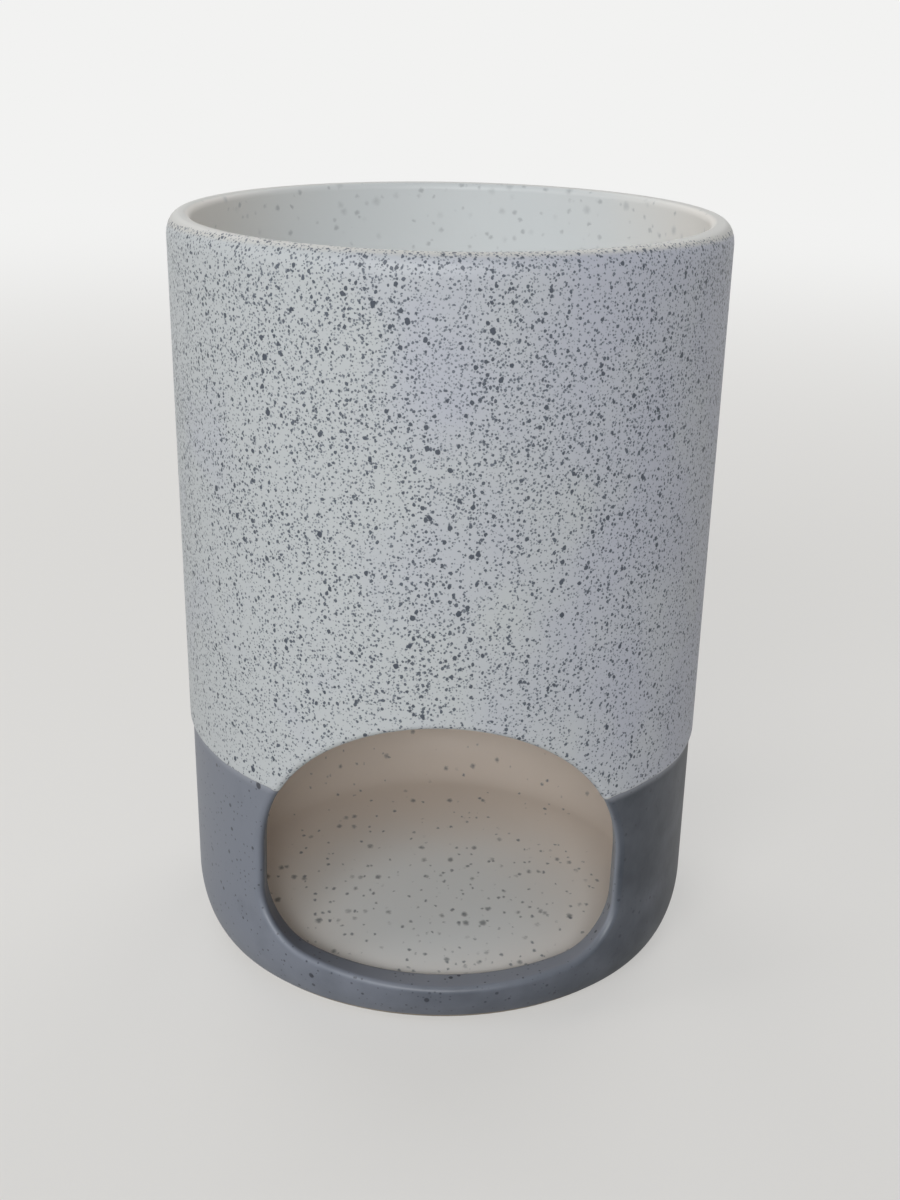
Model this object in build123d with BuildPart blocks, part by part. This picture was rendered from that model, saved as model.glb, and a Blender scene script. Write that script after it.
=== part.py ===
"""Ceramic oil burner: a cast stoneware pot with a window, a dish let into its top, and four coats of glaze."""
from build123d import *
from math import asin, atan2, cos, degrees, radians, sin, sqrt
import os

# Driving sizes of the whole, millimetres and degrees
overall_height = 110.6
rim_diameter = 80.0
side_taper = 1.1
rim_round_width = 1.9
rim_round_height = 3.0
rim_inner_round = 1.1
foot_round_width = 4.1
foot_round_height = 9.5

# Stoneware under the glaze
upper_wall_thickness = 2.2
ledge_width = 1.4
floor_thickness = 5.1
floor_cove_radius = 3.0
foot_ring_width = 8.0
foot_recess_depth = 1.2
foot_recess_round = 0.6

# Coats of glaze
speckled_thickness = 0.8
slate_thickness = 0.4
liner_thickness = 0.4
reveal_thickness = 0.4
glaze_line_height = 34.3
glaze_line_lean = 0.8
rim_band_height = 1.3
bare_foot_height = 1.0

# Oil dish, and the slip that beds it on its ledge
dish_depth = 26.0
dish_thickness = 4.2
dish_cove_radius = 11.0
dish_hollow = 1.6
dish_belly = 3.0
dish_land_width = 0.8
slip_thickness = 0.4

# Window, cut by hand a little out of level: a round arch on short straight sides, over a bowed sill
window_width = 50.9
window_side_height = 6.25
window_corner_radius = 8.1
window_sill_bow = 1.3
window_sill_lift = 1.4
window_lean = 1.2
window_outer_round = 0.85
window_inner_round = 0.8

# How far every cutting tool runs past the stoneware
overrun = 5.0

# Length of a curve's handle that makes a quarter round, as a share of its side
quarter_round_share = 0.5523

# Radii and heights worked out from the sizes above
rim_radius = rim_diameter / 2
rim_flat_radius = rim_radius - rim_round_width
bare_rim_radius = rim_radius - speckled_thickness
bare_base_radius = rim_radius - side_taper - slate_thickness
foot_radius = rim_radius - side_taper - foot_round_width
dish_wall_radius = bare_rim_radius - upper_wall_thickness
chamber_radius = dish_wall_radius - ledge_width
dish_edge_radius = dish_wall_radius - slip_thickness

dish_bottom = overall_height - dish_depth
dish_springing = dish_bottom + dish_hollow + dish_cove_radius
dish_underside = dish_bottom - liner_thickness - dish_thickness
dish_seat = dish_underside + dish_belly
ledge_height = dish_seat - slip_thickness

floor_top = floor_thickness + liner_thickness
sill_height = floor_top + window_sill_lift
window_drop = window_corner_radius + window_sill_bow
window_arch_height = sill_height + window_drop + window_side_height


def flattened_arch(half_width, rise, shoulder_radius):
    """Radius of the crown arc that runs smoothly into two shoulder arcs, and half the angle that it spans."""
    side = half_width - shoulder_radius
    crown_radius = (side**2 + rise**2 - shoulder_radius**2) / (2 * (rise - shoulder_radius))
    return crown_radius, degrees(atan2(side, crown_radius - rise))


def window_lines(growth):
    """Outline of the window about the middle of its arch, cut larger all round by the growth."""
    half_width = window_width / 2 + growth
    corner_radius = window_corner_radius + growth
    drop = window_drop + growth
    crown_radius, half_angle = flattened_arch(half_width, drop, corner_radius)
    side = half_width - corner_radius
    low = -window_side_height
    CenterArc((0, 0), half_width, 0, 180)
    Line((-half_width, 0), (-half_width, low))
    CenterArc((-side, low), corner_radius, 180, 90 - half_angle)
    CenterArc((0, low - drop + crown_radius), crown_radius, 270 - half_angle, 2 * half_angle)
    CenterArc((side, low), corner_radius, 270 + half_angle, 90 - half_angle)
    Line((half_width, low), (half_width, 0))


def outside_lines(outer_skin, liner_skin):
    """Right half of the pot's outline with the dish in its top, from the foot's middle round to the axis."""
    foot_side = bare_base_radius + outer_skin
    rim_side = bare_rim_radius + outer_skin
    low = foot_round_height
    high = overall_height - rim_round_height
    lean = (rim_side - foot_side) / (high - low)
    top = overall_height - liner_thickness + liner_skin
    foot_handle = quarter_round_share * foot_round_height
    rim_handle = quarter_round_share * rim_round_height
    Line((0, 0), (foot_radius, 0))
    Bezier(
        (foot_radius, 0),
        (foot_radius + quarter_round_share * (foot_side - foot_radius), 0),
        (foot_side - lean * foot_handle, low - foot_handle),
        (foot_side, low),
    )
    Line((foot_side, low), (rim_side, high))
    Bezier(
        (rim_side, high),
        (rim_side + lean * rim_handle, high + rim_handle),
        (rim_flat_radius + quarter_round_share * (rim_side - rim_flat_radius), top),
        (rim_flat_radius, top),
    )
    dish_radius = dish_wall_radius - liner_skin
    inner_round = rim_inner_round - liner_thickness + liner_skin
    Line((rim_flat_radius, top), (dish_radius + inner_round, top))
    CenterArc((dish_radius + inner_round, top - inner_round), inner_round, 90, 90)
    Line((dish_radius, top - inner_round), (dish_radius, dish_springing))
    cove_radius = dish_cove_radius + liner_thickness - liner_skin
    rise = cove_radius + dish_hollow
    crown_radius, half_angle = flattened_arch(dish_radius, rise, cove_radius)
    CenterArc((dish_radius - cove_radius, dish_springing), cove_radius, 0, half_angle - 90)
    CenterArc((0, dish_springing - rise + crown_radius), crown_radius, half_angle - 90, -half_angle)
    Line((0, dish_springing - rise), (0, 0))


def chamber_lines(liner_skin):
    """Right half of the chamber: floor, cove, wall, and the dish's domed underside."""
    radius = chamber_radius - liner_skin
    floor = floor_thickness + liner_skin
    cove = floor_cove_radius + liner_thickness - liner_skin
    belly_radius = (chamber_radius**2 + dish_belly**2) / (2 * dish_belly)
    dome_radius = belly_radius + liner_skin
    dome_centre = dish_underside + belly_radius
    dome_angle = degrees(asin(radius / dome_radius))
    dome_edge = dome_centre - dome_radius * cos(radians(dome_angle))
    Line((0, floor), (radius - cove, floor))
    CenterArc((radius - cove, floor + cove), cove, -90, 90)
    Line((radius, floor + cove), (radius, dome_edge))
    CenterArc((0, dome_centre), dome_radius, dome_angle - 90, -dome_angle)
    Line((0, dome_centre - dome_radius), (0, floor))


def foot_recess_lines():
    """Right half of the shallow hollow under the foot, inside the ring that it stands on."""
    radius = foot_radius - foot_ring_width
    Line((0, -overrun), (radius, -overrun))
    Line((radius, -overrun), (radius, foot_recess_depth - foot_recess_round))
    CenterArc((radius - foot_recess_round, foot_recess_depth - foot_recess_round), foot_recess_round, 0, 90)
    Line((radius - foot_recess_round, foot_recess_depth), (0, foot_recess_depth))
    Line((0, foot_recess_depth), (0, -overrun))


def window_plane():
    """Plane of the window's outline, facing the front, with its right side leaning down."""
    across = (cos(radians(window_lean)), 0, -sin(radians(window_lean)))
    return Plane(origin=(0, 0, window_arch_height), x_dir=across, z_dir=(0, -1, 0))


def on_outer_side(edge):
    """Whether an edge of the window lies on the outer side of the wall."""
    middle = edge @ 0.5
    wall_middle = (chamber_radius + bare_base_radius) / 2
    return sqrt(middle.X**2 + middle.Y**2) > wall_middle


def pot(outer_skin, liner_skin, reveal_skin):
    """Pot and dish as one form with its window, at the given thicknesses of glaze over the stoneware."""
    with BuildPart() as form:
        with BuildSketch(Plane.XZ):
            with BuildLine():
                outside_lines(outer_skin, liner_skin)
            make_face()
            with BuildLine():
                chamber_lines(liner_skin)
            make_face(mode=Mode.SUBTRACT)
            with BuildLine():
                foot_recess_lines()
            make_face(mode=Mode.SUBTRACT)
        revolve(axis=Axis.Z)
        with BuildSketch(window_plane()):
            with BuildLine():
                window_lines(reveal_thickness - reveal_skin)
            make_face()
        extrude(amount=rim_radius + overrun, mode=Mode.SUBTRACT)
        arrises = form.edges(Select.LAST).filter_by(Axis.Y, reverse=True).filter_by(GeomType.CIRCLE, reverse=True)
        fillet(arrises.filter_by(on_outer_side), window_outer_round - reveal_thickness + reveal_skin)
        fillet(arrises.filter_by(on_outer_side, reverse=True), window_inner_round - liner_thickness + liner_skin)
    return form.part


def turned(points):
    """Solid of revolution of a polygon given as pairs of radius and height."""
    with BuildPart() as shape:
        with BuildSketch(Plane.XZ):
            with BuildLine():
                Polyline(*points, close=True)
            make_face()
        revolve(axis=Axis.Z)
    return shape.part


def bare_chamber():
    """Whole space of the chamber before it was glazed."""
    with BuildPart() as space:
        with BuildSketch(Plane.XZ):
            with BuildLine():
                chamber_lines(0)
            make_face()
        revolve(axis=Axis.Z)
    return space.part


def glaze_line_plane():
    """Plane that the pot was dipped to, its right side leaning down, with its normal upwards."""
    return Plane(
        origin=(0, 0, glaze_line_height),
        x_dir=(cos(radians(glaze_line_lean)), 0, -sin(radians(glaze_line_lean))),
        z_dir=(sin(radians(glaze_line_lean)), 0, cos(radians(glaze_line_lean))),
    )


# The bare stoneware, and the same pot at its two outer thicknesses of glaze
bare_pot = pot(0, 0, 0)
slate_pot = pot(slate_thickness, liner_thickness, reveal_thickness)
speckled_pot = pot(speckled_thickness, liner_thickness, reveal_thickness)

# Regions that part the dish, the slip and the linings from the rest
outside_radius = rim_radius + overrun
above_rim = overall_height + overrun
land_radius = dish_edge_radius - dish_land_width
bare_cove_radius = dish_cove_radius + liner_thickness
land_rise = sqrt(bare_cove_radius**2 - (land_radius - dish_wall_radius + bare_cove_radius) ** 2)
land_height = dish_springing - land_rise
wall_middle_radius = (dish_wall_radius + bare_rim_radius) / 2
rim_band_bottom = overall_height - rim_band_height

chamber_space = bare_chamber()
dish_bore = turned(
    [
        (0, ledge_height),
        (dish_wall_radius, ledge_height),
        (dish_wall_radius, above_rim),
        (0, above_rim),
    ]
)
dish_region = turned(
    [
        (0, dish_underside - overrun),
        (chamber_radius, dish_underside - overrun),
        (chamber_radius, dish_seat),
        (dish_edge_radius, dish_seat),
        (dish_edge_radius, land_height),
        (0, land_height),
    ]
)
top_region = turned(
    [
        (0, ledge_height),
        (wall_middle_radius, ledge_height),
        (wall_middle_radius, rim_band_bottom),
        (outside_radius, rim_band_bottom),
        (outside_radius, above_rim),
        (0, above_rim),
    ]
)

with BuildPart() as body_shell:
    add(bare_pot)
    add(dish_bore, mode=Mode.SUBTRACT)
    add(dish_region, mode=Mode.SUBTRACT)

with BuildPart() as oil_dish:
    add(bare_pot)
    add(dish_region, mode=Mode.INTERSECT)

with BuildPart() as slip_joint:
    add(bare_pot)
    add(dish_bore, mode=Mode.INTERSECT)
    add(dish_region, mode=Mode.SUBTRACT)

with BuildPart() as chamber_glaze:
    add(slate_pot)
    add(chamber_space, mode=Mode.INTERSECT)

with BuildPart() as slate_glaze:
    add(slate_pot)
    add(bare_pot, mode=Mode.SUBTRACT)
    add(chamber_space, mode=Mode.SUBTRACT)
    split(bisect_by=glaze_line_plane(), keep=Keep.BOTTOM)
    split(bisect_by=Plane.XY.offset(bare_foot_height), keep=Keep.TOP)

with BuildPart() as speckled_glaze:
    add(speckled_pot)
    add(bare_pot, mode=Mode.SUBTRACT)
    add(chamber_space, mode=Mode.SUBTRACT)
    add(top_region, mode=Mode.SUBTRACT)
    split(bisect_by=glaze_line_plane(), keep=Keep.TOP)

with BuildPart() as dish_glaze:
    add(speckled_pot)
    add(bare_pot, mode=Mode.SUBTRACT)
    add(chamber_space, mode=Mode.SUBTRACT)
    add(top_region, mode=Mode.INTERSECT)

pieces = {
    "body_shell": body_shell,
    "oil_dish": oil_dish,
    "slip_joint": slip_joint,
    "speckled_glaze": speckled_glaze,
    "slate_glaze": slate_glaze,
    "chamber_glaze": chamber_glaze,
    "dish_glaze": dish_glaze,
}
os.makedirs("parts", exist_ok=True)
for label, piece in pieces.items():
    piece.part.label = label
    export_step(piece.part, f"parts/{label}.step")
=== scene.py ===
"""Looks of the stoneware oil burner: four coats of glaze, the stage, the light and the camera."""

import logging
import math
from abc import ABC, abstractmethod
from dataclasses import dataclass
from enum import Enum
from typing import Any, Callable

import bpy
import numpy as np
from mathutils import Matrix, Vector
from numpy.typing import NDArray


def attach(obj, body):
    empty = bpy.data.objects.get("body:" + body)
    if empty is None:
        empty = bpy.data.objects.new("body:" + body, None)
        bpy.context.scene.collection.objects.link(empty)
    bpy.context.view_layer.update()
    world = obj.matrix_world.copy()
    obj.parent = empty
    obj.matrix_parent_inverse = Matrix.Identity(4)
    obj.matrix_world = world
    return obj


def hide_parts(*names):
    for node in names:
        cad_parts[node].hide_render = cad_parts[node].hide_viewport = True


FloatArray = NDArray[np.float64]
IntArray = NDArray[np.int64]
Along = Callable[[FloatArray], FloatArray]
Over = Callable[[FloatArray, FloatArray], FloatArray]
Colour = tuple[float, float, float, float]
Piece = bpy.types.Object
Tree = bpy.types.NodeTree
Socket = bpy.types.NodeSocket

METRES_PER_MM = 0.001

# Points that agree to this many decimals of a millimetre are welded
WELD_DECIMALS = 4

# Power that crowds a wall's rows towards the window, where the glaze curves most
RAY_CROWDING = 1.5

# Smallest length in millimetres that anything is divided by
TINY = 1e-9

# A colour mix shares the names of its sockets with other kinds of value, so they go by number
UNDER = 6
OVER = 7
MIXED = 2

OUTWARD = np.array([1.0, 0.0])
INWARD = np.array([-1.0, 0.0])
UPWARD = np.array([0.0, 1.0])
DOWNWARD = np.array([0.0, -1.0])

log = logging.getLogger("oil_burner")
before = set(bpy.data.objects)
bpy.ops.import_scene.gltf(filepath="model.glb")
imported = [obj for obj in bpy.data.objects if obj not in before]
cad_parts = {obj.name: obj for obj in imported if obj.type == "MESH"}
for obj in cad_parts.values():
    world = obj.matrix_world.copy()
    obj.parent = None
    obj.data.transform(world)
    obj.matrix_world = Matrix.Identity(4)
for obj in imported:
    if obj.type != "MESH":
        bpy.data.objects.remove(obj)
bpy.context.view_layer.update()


class Side(Enum):
    """Which part of the pot's wall a coat covers, seen from the dipped line."""

    ABOVE_LINE = "above"
    BELOW_LINE = "below"


def linked(name: str, data: Any) -> Piece:
    """Makes an object of some data and puts it into the scene.

    Args:
        name: Name of the object.
        data: Its mesh, lamp or camera.

    Returns:
        The object.
    """
    made = bpy.data.objects.new(name, data)
    bpy.context.scene.collection.objects.link(made)
    return made


def emptied(owner: Any) -> Tree:
    """Empties the node tree of a material or a sky.

    Args:
        owner: The material or the sky.

    Returns:
        Its node tree, with nothing in it.
    """
    owner.use_nodes = True
    owner.node_tree.nodes.clear()
    return owner.node_tree


def mm(value: float) -> float:
    """Millimetres turned to metres."""
    return value * METRES_PER_MM


def smooth_step(value: FloatArray) -> FloatArray:
    """Eases from 0 to 1 over the unit range: three times the square less twice the cube."""
    share = np.clip(value, 0.0, 1.0)
    return share * share * (3.0 - 2.0 * share)


def bezier(points: list[tuple[float, float]], count: int) -> FloatArray:
    """Points of a cubic curve, each the sum of its four handles weighted by Bernstein's polynomials.

    Args:
        points: The curve's two ends and two handles, in order.
        count: How many points to work out.

    Returns:
        Radius and height of each point.
    """
    t = np.linspace(0.0, 1.0, count)[:, None]
    start, first, second, end = (np.array(point) for point in points)
    return (1 - t) ** 3 * start + 3 * (1 - t) ** 2 * t * first + 3 * (1 - t) * t**2 * second + t**3 * end


def arc(centre: tuple[float, float], radius: float, start: float, turn: float, count: int) -> FloatArray:
    """Points of an arc: the centre plus the radius times the cosine and sine of an evenly stepped angle.

    Args:
        centre: Middle of the arc, as radius and height.
        radius: Radius of the arc.
        start: Angle of its first point, in degrees.
        turn: How far it turns, in degrees, positive anticlockwise.
        count: How many points to work out.

    Returns:
        Radius and height of each point.
    """
    angle = np.radians(np.linspace(start, start + turn, count))
    return np.stack([centre[0] + radius * np.cos(angle), centre[1] + radius * np.sin(angle)], axis=1)


def straight(start: tuple[float, float], end: tuple[float, float], count: int) -> FloatArray:
    """Evenly spaced points of a straight run, both ends included."""
    return np.linspace(np.array(start), np.array(end), count)


@dataclass(frozen=True)
class Profile:
    """A line turned about the pot's axis, with the air on its right-hand side as it runs.

    Radius and height are millimetres, out and up the unit normal towards the air, length the run so far.
    """

    radius: FloatArray
    height: FloatArray
    out: FloatArray
    up: FloatArray
    length: FloatArray

    @classmethod
    def through(cls, runs: list[FloatArray]) -> "Profile":
        """Joins runs of points into one line, whose normal is its direction turned a quarter clockwise.

        Args:
            runs: Runs of radius and height, each starting where the one before ended.

        Returns:
            The whole line.
        """
        points = np.concatenate([runs[0]] + [run[1:] for run in runs[1:]])
        steps = np.linalg.norm(np.diff(points, axis=0), axis=1)
        length = np.concatenate([[0.0], np.cumsum(steps)])
        along = np.gradient(points, length, axis=0)
        along /= np.linalg.norm(along, axis=1, keepdims=True)
        return cls(points[:, 0], points[:, 1], along[:, 1], -along[:, 0], length)

    def length_at_height(self, height: FloatArray) -> FloatArray:
        """Length along a rising line at which it reaches a height."""
        return np.interp(height, self.height, self.length)

    def place(self, angle: FloatArray, length: FloatArray, inset: FloatArray | float = 0.0) -> FloatArray:
        """Points of the turned surface, sunk a little: radius times sine and minus cosine of an angle.

        Args:
            angle: Angle about the axis, from the front, positive to the right.
            length: Length along the line.
            inset: How far under the surface, in millimetres.

        Returns:
            X, Y and Z of each point, in millimetres.
        """
        rows = (self.radius, self.height, self.out, self.up)
        radius, height, out, up = (np.interp(length, self.length, row) for row in rows)
        radius = radius - inset * out
        height = height - inset * up
        return np.stack([radius * np.sin(angle), -radius * np.cos(angle), height], axis=-1)


@dataclass(frozen=True)
class PotForm:
    """Sizes of the glazed pot, in millimetres, as the model's own source has them.

    Each wave of the dipped line is its height, its count round the pot and its phase.
    """

    overall_height: float = 110.6
    rim_radius: float = 40.0
    side_taper: float = 1.1
    rim_round_width: float = 1.9
    rim_round_height: float = 3.0
    rim_inner_round: float = 1.1
    foot_radius: float = 34.8
    foot_round_height: float = 9.5
    speckled_thickness: float = 0.8
    slate_thickness: float = 0.4
    chamber_radius: float = 35.2
    floor_height: float = 5.5
    floor_cove_radius: float = 3.0
    ceiling_height: float = 79.6
    ceiling_belly: float = 3.0
    dish_radius: float = 36.6
    dish_depth: float = 26.0
    dish_cove_radius: float = 11.0
    dish_hollow: float = 1.6
    rim_band_height: float = 1.3
    bare_foot_height: float = 1.0
    glaze_line_height: float = 34.3
    glaze_line_lean: float = 0.8
    glaze_line_waves: tuple[tuple[float, int, float], ...] = (
        (0.14, 3, 0.9),
        (0.09, 7, 2.1),
        (0.05, 16, 0.4),
        (0.03, 37, 1.3),
    )
    quarter_round_share: float = 0.5523
    points_per_round: int = 60

    def outside(self, coat: float) -> Profile:
        """Outer line from the foot to the rim's flat top, over a coat of the given thickness.

        The foot's round and the rim's round are cubic curves, joined by a straight side that leans out.

        Args:
            coat: Thickness of the coat over the bare stoneware, in millimetres.

        Returns:
            The coat's outer line, rising.
        """
        foot_side = self.rim_radius - self.side_taper - self.slate_thickness + coat
        rim_side = self.rim_radius - self.speckled_thickness + coat
        low = self.foot_round_height
        high = self.overall_height - self.rim_round_height
        lean = (rim_side - foot_side) / (high - low)
        foot_handle = self.quarter_round_share * self.foot_round_height
        rim_handle = self.quarter_round_share * self.rim_round_height
        flat = self.rim_radius - self.rim_round_width
        share = self.quarter_round_share
        foot = bezier(
            [
                (self.foot_radius, 0.0),
                (self.foot_radius + share * (foot_side - self.foot_radius), 0.0),
                (foot_side - lean * foot_handle, low - foot_handle),
                (foot_side, low),
            ],
            self.points_per_round,
        )
        rim = bezier(
            [
                (rim_side, high),
                (rim_side + lean * rim_handle, high + rim_handle),
                (flat + share * (rim_side - flat), self.overall_height),
                (flat, self.overall_height),
            ],
            self.points_per_round,
        )
        side = straight((foot_side, low), (rim_side, high), self.points_per_round)
        return Profile.through([foot, side, rim])

    def chamber_wall(self) -> Profile:
        """Chamber's cove and wall, from the edge of its flat floor up to the dish's underside.

        Returns:
            The line, rising, with its normal towards the pot's axis.
        """
        cove = self.floor_cove_radius
        low = self.floor_height + cove
        high = self.ceiling_height + self.ceiling_rise(self.chamber_radius)
        upwards = [
            arc((self.chamber_radius - cove, low), cove, -90.0, 90.0, self.points_per_round),
            straight((self.chamber_radius, low), (self.chamber_radius, high), self.points_per_round),
        ]
        line = Profile.through(upwards)
        return Profile(line.radius, line.height, -line.out, -line.up, line.length)

    def ceiling_rise(self, radius: FloatArray | float) -> FloatArray | float:
        """How much higher the dish's underside is at a radius than on the axis: a sphere's sagitta."""
        sphere = (self.chamber_radius**2 + self.ceiling_belly**2) / (2.0 * self.ceiling_belly)
        return sphere - np.sqrt(sphere**2 - np.square(radius))

    def dish(self) -> Profile:
        """Rim and dish, from under the rim's outer edge, over the rim and down the dish to its middle.

        The dish is a straight wall, a cove and a wide bowl, each arc touching the next one smoothly.

        Returns:
            The line, with its normal towards the air over the pot.
        """
        outside = self.outside(self.speckled_thickness)
        start = outside.length_at_height(np.array(self.overall_height - self.rim_band_height))
        lengths = np.linspace(float(start), outside.length[-1], self.points_per_round)
        rows = (outside.radius, outside.height)
        rim = np.stack([np.interp(lengths, outside.length, row) for row in rows], axis=1)
        top = self.overall_height
        inner = self.dish_radius + self.rim_inner_round
        springing = top - self.dish_depth + self.dish_hollow + self.dish_cove_radius
        cove = self.dish_cove_radius
        side = self.dish_radius - cove
        rise = cove + self.dish_hollow
        crown = (side**2 + rise**2 - cove**2) / (2.0 * (rise - cove))
        half_angle = math.degrees(math.atan2(side, crown - rise))
        lip = top - self.rim_inner_round
        count = self.points_per_round
        return Profile.through(
            [
                rim,
                straight((self.rim_radius - self.rim_round_width, top), (inner, top), count),
                arc((inner, lip), self.rim_inner_round, 90.0, 90.0, count),
                straight((self.dish_radius, lip), (self.dish_radius, springing), count),
                arc((side, springing), cove, 0.0, half_angle - 90.0, count),
                arc((0.0, springing - rise + crown), crown, half_angle - 90.0, -half_angle, count),
            ]
        )

    def line_height(self, angle: FloatArray) -> FloatArray:
        """Height of the dipped line round the pot: a leaning plane plus small waves of a dip by hand.

        Args:
            angle: Angle about the axis, from the front, positive to the right.

        Returns:
            The height at each angle, in millimetres.
        """
        across = self.rim_radius * np.sin(angle)
        waves = self.glaze_line_waves
        wave = sum(height * np.sin(count * angle + phase) for height, count, phase in waves)
        return self.glaze_line_height - across * math.tan(math.radians(self.glaze_line_lean)) + wave


@dataclass(frozen=True)
class RolledRound:
    """Where a ball that rolls round the window's rim touches the wall's surface and the window's side."""

    angle: FloatArray
    length: FloatArray
    centre: FloatArray
    to_wall: FloatArray
    to_window: FloatArray
    radius: float

    def across(self, share: FloatArray) -> FloatArray:
        """Points on the ball between its touches: both directions mixed by the sines of a shared angle.

        Args:
            share: Shares of the way from the wall to the window's side.

        Returns:
            One row of points for each share, in millimetres.
        """
        cosine = np.clip(np.sum(self.to_wall * self.to_window, axis=-1), -1.0, 1.0)
        turn = np.arccos(cosine)[None, :, None]
        part = share[:, None, None]
        mixed = np.sin((1 - part) * turn) * self.to_wall + np.sin(part * turn) * self.to_window
        return self.centre + self.radius * mixed / np.sin(turn)


@dataclass(frozen=True)
class WindowCut:
    """Sizes of the window, in millimetres: a round arch on short sides over a bowed sill, leaning."""

    width: float = 50.9
    side_height: float = 6.25
    corner_radius: float = 8.1
    sill_bow: float = 1.3
    sill_height: float = 6.9
    lean: float = 1.2
    outer_round: float = 0.85
    inner_round: float = 0.8
    points_per_run: int = 700

    def arch_height(self) -> float:
        """Height of the middle of the arch."""
        return self.sill_height + self.corner_radius + self.sill_bow + self.side_height

    def outline(self) -> FloatArray:
        """The window's outline seen from the front, anticlockwise from the middle of the sill.

        Arcs and straight sides are joined end to end, each point with its direction away from the opening.

        Returns:
            Rows of run so far as a share of the whole, X, Z, and the X and Z of the outward direction.
        """
        half = self.width / 2.0
        corner = self.corner_radius
        drop = corner + self.sill_bow
        side = half - corner
        crown = (side**2 + drop**2 - corner**2) / (2.0 * (drop - corner))
        half_angle = math.degrees(math.atan2(side, crown - drop))
        low = -self.side_height
        count = self.points_per_run
        sill_centre = (0.0, low - drop + crown)
        right = [
            arc(sill_centre, crown, -90.0, half_angle, count),
            arc((side, low), corner, half_angle - 90.0, 90.0 - half_angle, count),
            straight((half, low), (half, 0.0), count),
            arc((0.0, 0.0), half, 0.0, 90.0, count),
        ]
        line = Profile.through(right)
        mirrored = [
            np.concatenate([values, sign * values[-2::-1]])
            for values, sign in ((line.radius, -1.0), (line.height, 1.0), (line.out, -1.0), (line.up, 1.0))
        ]
        run = np.concatenate([line.length, 2.0 * line.length[-1] - line.length[-2::-1]])
        lean = math.radians(self.lean)
        across, along, out, up = mirrored
        return np.stack(
            [
                run / run[-1],
                across * math.cos(lean) + along * math.sin(lean),
                self.arch_height() - across * math.sin(lean) + along * math.cos(lean),
                out * math.cos(lean) + up * math.sin(lean),
                -out * math.sin(lean) + up * math.cos(lean),
            ]
        )

    def at(self, share: FloatArray) -> FloatArray:
        """X, Z and outward direction of the outline at shares of its length, even past a whole turn."""
        outline = self.outline()
        return np.stack([np.interp(share % 1.0, outline[0], row) for row in outline[1:]])

    def rolled(
        self, profile: Profile, share: FloatArray, radius: float, inset: FloatArray | float = 0.0
    ) -> RolledRound:
        """Rolls a ball inside the pottery round the window's rim, touching the wall and the window's side.

        Its centre lies a radius outside the outline and a radius under the wall's surface.

        Args:
            profile: The wall's line, rising.
            share: Shares of the outline's length.
            radius: The ball's radius.
            inset: How far under the line the wall's surface is there.

        Returns:
            The touches and the ball's centre for each share.
        """
        across, height, out, up = self.at(share)
        centre_x = across + radius * out
        centre_z = height + radius * up
        sunk_height = profile.height - radius * profile.up
        sunk_radius = profile.radius - radius * profile.out
        rising = np.concatenate([[True], np.diff(np.maximum.accumulate(sunk_height)) > 0])
        length = np.interp(centre_z, sunk_height[rising], profile.length[rising])
        wall_out = np.interp(length, profile.length, profile.out)
        wall_up = np.interp(length, profile.length, profile.up)
        reach = np.interp(centre_z, sunk_height[rising], sunk_radius[rising]) - inset * wall_out
        centre_y = -np.sqrt(reach**2 - centre_x**2)
        centre = np.stack([centre_x, centre_y, centre_z], axis=-1)
        to_wall = np.stack([wall_out * centre_x / reach, wall_out * centre_y / reach, wall_up], axis=-1)
        to_wall /= np.linalg.norm(to_wall, axis=-1, keepdims=True)
        to_window = np.stack([-out, np.zeros_like(out), -up], axis=-1)
        to_window /= np.linalg.norm(to_window, axis=-1, keepdims=True)
        touch = centre + radius * to_wall
        angle = np.arctan2(touch[:, 0], -touch[:, 1])
        return RolledRound(angle, length, centre, to_wall, to_window, radius)


def welded(name: str, grids: list[FloatArray], facing: list[FloatArray]) -> Piece:
    """Joins grids of points into one mesh, closes their seams and turns every face outwards.

    Points nearer than a ten-thousandth of a millimetre become one. Cells that shrink to a line are dropped.

    Args:
        name: Name of the new piece.
        grids: Grids of points, rows by columns by X, Y and Z, in millimetres.
        facing: The side that each grid's first row of cells faces: shares away from the axis and upwards.

    Returns:
        The piece, in metres, shaded smooth.
    """
    points: list[FloatArray] = []
    cells: list[IntArray] = []
    start = 0
    for grid, (away_share, up_share) in zip(grids, facing):
        rows, columns = grid.shape[:2]
        index = np.arange(rows * columns).reshape(rows, columns)
        quads = np.stack([index[:-1, :-1], index[:-1, 1:], index[1:, 1:], index[1:, :-1]], axis=-1)
        flat = grid.reshape(-1, 3)
        corners = flat[quads[0]]
        normals = np.cross(corners[:, 2] - corners[:, 0], corners[:, 3] - corners[:, 1])
        level = corners.mean(axis=1) * np.array([1.0, 1.0, 0.0])
        outward = level * away_share + np.array([0.0, 0.0, up_share])
        quads = quads.reshape(-1, 4) + start
        cells.append(quads if np.sum(normals * outward) > 0 else quads[:, ::-1])
        points.append(flat)
        start += rows * columns
    every = np.concatenate(points)
    near = np.round(every, WELD_DECIMALS) + 0.0
    _, first, merged = np.unique(near, axis=0, return_index=True, return_inverse=True)
    faces = merged.reshape(-1)[np.concatenate(cells)]
    same = faces == np.roll(faces, -1, axis=1)
    whole = faces[same.sum(axis=1) == 0]
    pinched = same.sum(axis=1) == 1
    triangles = faces[pinched][~same[pinched]].reshape(-1, 3)
    mesh = bpy.data.meshes.new(name)
    mesh.from_pydata(mm(1.0) * every[first], [], whole.tolist() + triangles.tolist())
    mesh.polygons.foreach_set("use_smooth", np.ones(len(mesh.polygons), dtype=bool))
    mesh.update()
    return linked(name, mesh)


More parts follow.
